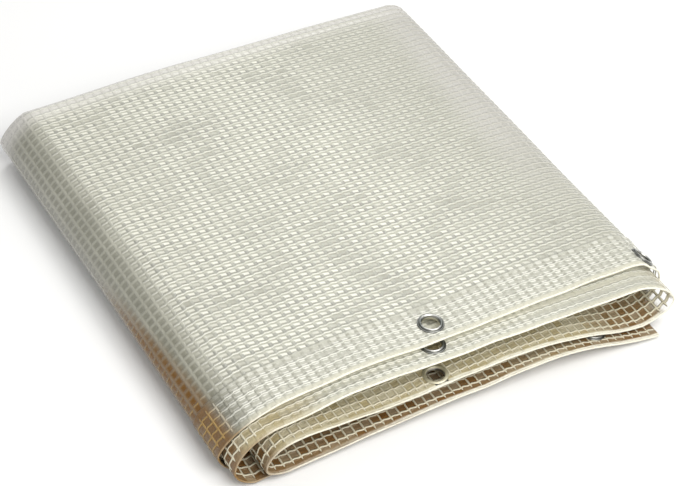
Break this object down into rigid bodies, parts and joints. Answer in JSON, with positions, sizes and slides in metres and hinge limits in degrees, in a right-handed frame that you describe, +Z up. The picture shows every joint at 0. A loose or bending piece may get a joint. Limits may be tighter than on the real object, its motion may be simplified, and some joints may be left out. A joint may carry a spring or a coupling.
{
  "type": "folded mesh tarp",
  "caption": "Folded tarp of clear film with a square net of threads, a welded hem along its front edges and metal eyelets.",
  "frame": {"origin": "centre of the folded packet's plan, at the surface that it rests on", "axes": "+X along the hems towards the flap's free corner, +Y from the hems towards the back edge, +Z up"},
  "size_m": [0.4566, 0.5014, 0.0611],
  "materials": {
    "film": "clear film with a white net of threads, glossy",
    "hem": "film turned back and welded, milky",
    "eyelet": "nickel plate, lightly dulled"
  },
  "bodies": {
    "root": {"tarp_cloth": "film", "hem_strip": "hem", "eyelet_top": "eyelet", "eyelet_second": "eyelet", "eyelet_tongue": "eyelet", "eyelet_flap": "eyelet", "eyelet_side": "eyelet"}
  },
  "joints": []
}
